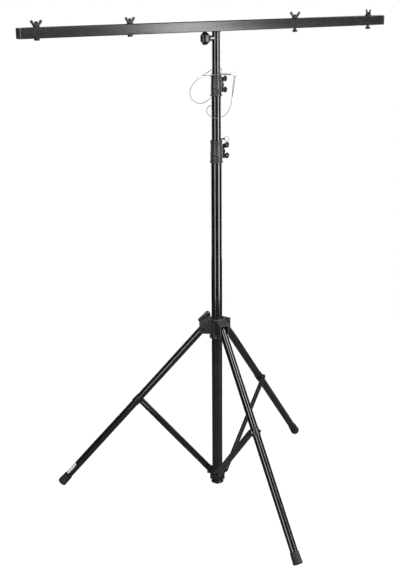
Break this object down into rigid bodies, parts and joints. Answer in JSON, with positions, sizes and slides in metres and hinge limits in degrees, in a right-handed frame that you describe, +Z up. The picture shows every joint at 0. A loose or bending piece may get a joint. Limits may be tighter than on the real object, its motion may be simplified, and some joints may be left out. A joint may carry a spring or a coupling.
{
  "type": "telescopic lighting stand",
  "caption": "Tripod lighting stand with a three-section telescopic mast, wing-screw clamps, safety pins and a square T-bar with wing-nut light bolts.",
  "frame": {"origin": "on the mast axis at floor level", "axes": "+Z up along the mast, X along the T-bar, Y across it"},
  "size_m": [1.25, 0.8673, 1.5898],
  "materials": {
    "black_tube": "gloss black powder coat",
    "black_bar": "satin black powder coat",
    "dark_plastic": "moulded dark grey",
    "black_plastic": "moulded black",
    "natural_plastic": "natural nylon",
    "rubber_foot": "matt black rubber",
    "black_fastener": "black oxide",
    "bright_steel": "bright plated",
    "steel_wire": "stranded wire"
  },
  "bodies": {
    "base": {"base_tube": "black_tube", "base_plug": "black_plastic", "lower_bracket": "black_plastic", "bracket_bolts": "black_fastener", "lower_collar": "dark_plastic", "lower_collar_bush": "black_plastic"},
    "middle_mast": {"middle_tube": "black_tube", "middle_guide": "natural_plastic", "upper_collar": "dark_plastic", "upper_collar_bush": "black_plastic"},
    "top_mast": {"top_tube": "black_tube", "top_guide": "natural_plastic", "knob_boss": "black_tube", "lanyard_wire": "steel_wire", "mast_eye": "steel_wire", "mast_ferrule": "bright_steel"},
    "t_bar": {"t_bar": "black_bar", "t_bar_spigot": "black_bar", "end_cap_left": "dark_plastic", "end_cap_right": "dark_plastic", "light_bolts": "black_fastener", "bolt_washers": "black_fastener"},
    "t_bar_knob": {"t_bar_knob": "black_plastic", "knob_screw": "black_fastener"},
    "lower_wing_screw": {"lower_wing_screw": "black_fastener"},
    "upper_wing_screw": {"upper_wing_screw": "black_fastener"},
    "lower_pin": {"lower_pin": "black_fastener", "lower_pin_ring": "black_fastener"},
    "upper_pin": {"upper_pin": "bright_steel", "upper_pin_ring": "bright_steel", "pin_eye": "steel_wire", "pin_ferrule": "bright_steel"},
    "hub": {"hub": "dark_plastic", "hub_bush": "black_plastic", "hub_bolts": "black_fastener"},
    "hub_knob": {"hub_knob": "black_plastic", "hub_screw": "black_fastener"},
    "wing_nut_1": {"wing_nut_1": "black_fastener"},
    "wing_nut_2": {"wing_nut_2": "black_fastener"},
    "wing_nut_3": {"wing_nut_3": "black_fastener"},
    "wing_nut_4": {"wing_nut_4": "black_fastener"},
    "leg_1": {"leg_tube_1": "black_tube", "leg_top_plug_1": "black_plastic", "leg_foot_1": "rubber_foot", "leg_saddle_1": "black_plastic", "leg_bolt_1": "black_fastener"},
    "brace_1": {"brace_1": "black_tube"},
    "leg_2": {"leg_tube_2": "black_tube", "leg_top_plug_2": "black_plastic", "leg_foot_2": "rubber_foot", "leg_saddle_2": "black_plastic", "leg_bolt_2": "black_fastener"},
    "brace_2": {"brace_2": "black_tube"},
    "leg_3": {"leg_tube_3": "black_tube", "leg_top_plug_3": "black_plastic", "leg_foot_3": "rubber_foot", "leg_saddle_3": "black_plastic", "leg_bolt_3": "black_fastener"},
    "brace_3": {"brace_3": "black_tube"}
  },
  "joints": [
    {"name": "tripod_fold", "type": "hinge", "parent": "base", "child": "brace_1", "pos_m": [0.02495, 0.01271, 0.07], "axis": [-0.454, 0.891, 0], "range_deg": [-37.5, 6]},
    {"name": "leg_1_on_brace", "type": "hinge", "parent": "brace_1", "child": "leg_1", "pos_m": [0.24035, 0.12246, 0.32805], "axis": [-0.454, 0.891, 0], "range_deg": [-13, 76]},
    {"name": "hub_on_leg_1", "type": "hinge", "parent": "leg_1", "child": "hub", "pos_m": [0.03956, 0.02016, 0.5906], "axis": [-0.454, 0.891, 0], "range_deg": [-38, 7]},
    {"name": "leg_2_fold", "type": "hinge", "parent": "hub", "child": "leg_2", "pos_m": [-0.03724, 0.02418, 0.5906], "axis": [-0.5446, -0.8387, 0], "range_deg": [-7, 38]},
    {"name": "brace_2_on_leg", "type": "hinge", "parent": "leg_2", "child": "brace_2", "pos_m": [-0.22623, 0.14692, 0.32805], "axis": [-0.5446, -0.8387, 0], "range_deg": [-76, 13]},
    {"name": "leg_3_fold", "type": "hinge", "parent": "hub", "child": "leg_3", "pos_m": [-0.00232, -0.04434, 0.5906], "axis": [0.9986, -0.0523, 0], "range_deg": [-7, 38]},
    {"name": "brace_3_on_leg", "type": "hinge", "parent": "leg_3", "child": "brace_3", "pos_m": [-0.01412, -0.26938, 0.32805], "axis": [0.9986, -0.0523, 0], "range_deg": [-76, 13]},
    {"name": "middle_mast_slide", "type": "slide", "parent": "base", "child": "middle_mast", "axis": [0, 0, 1], "range_m": [0, 0.78]},
    {"name": "top_mast_slide", "type": "slide", "parent": "middle_mast", "child": "top_mast", "axis": [0, 0, 1], "range_m": [0, 0.8]},
    {"name": "t_bar_swivel", "type": "hinge", "parent": "top_mast", "child": "t_bar", "pos_m": [0, 0, 1.5], "axis": [0, 0, 1], "continuous": true},
    {"name": "t_bar_knob_turn", "type": "hinge", "parent": "top_mast", "child": "t_bar_knob", "pos_m": [-0.034, 0, 1.519], "axis": [-1, 0, 0], "range_deg": [0, 450]},
    {"name": "lower_wing_screw_turn", "type": "hinge", "parent": "base", "child": "lower_wing_screw", "pos_m": [0.0277, 0.01153, 1.17], "axis": [0.9232, 0.3843, 0], "range_deg": [0, 450]},
    {"name": "upper_wing_screw_turn", "type": "hinge", "parent": "middle_mast", "child": "upper_wing_screw", "pos_m": [0.02598, 0.015, 1.3762], "axis": [0.866, 0.5, 0], "range_deg": [0, 450]},
    {"name": "hub_knob_turn", "type": "hinge", "parent": "hub", "child": "hub_knob", "pos_m": [-0.0121, 0.04852, 0.612], "axis": [-0.2419, 0.9703, 0], "range_deg": [0, 450]},
    {"name": "upper_pin_pull", "type": "slide", "parent": "top_mast", "child": "upper_pin", "axis": [0.5, -0.866, 0], "range_m": [0, 0.035]},
    {"name": "lower_pin_pull", "type": "slide", "parent": "middle_mast", "child": "lower_pin", "axis": [0.6691, -0.7431, 0], "range_m": [0, 0.02]},
    {"name": "wing_nut_1_turn", "type": "hinge", "parent": "t_bar", "child": "wing_nut_1", "pos_m": [-0.57, 0, 1.575], "axis": [0, 0, 1], "range_deg": [0, 450]},
    {"name": "wing_nut_2_turn", "type": "hinge", "parent": "t_bar", "child": "wing_nut_2", "pos_m": [-0.285, 0, 1.575], "axis": [0, 0, 1], "range_deg": [0, 450]},
    {"name": "wing_nut_3_turn", "type": "hinge", "parent": "t_bar", "child": "wing_nut_3", "pos_m": [0.285, 0, 1.575], "axis": [0, 0, 1], "range_deg": [0, 450]},
    {"name": "wing_nut_4_turn", "type": "hinge", "parent": "t_bar", "child": "wing_nut_4", "pos_m": [0.57, 0, 1.575], "axis": [0, 0, 1], "range_deg": [0, 450]}
  ],
  "couplings": [
    {"joint": "leg_1_on_brace", "follows": "tripod_fold", "ratio": -2},
    {"joint": "hub_on_leg_1", "follows": "tripod_fold", "ratio": 1},
    {"joint": "leg_2_fold", "follows": "tripod_fold", "ratio": -1},
    {"joint": "brace_2_on_leg", "follows": "tripod_fold", "ratio": 2},
    {"joint": "leg_3_fold", "follows": "tripod_fold", "ratio": -1},
    {"joint": "brace_3_on_leg", "follows": "tripod_fold", "ratio": 2}
  ]
}
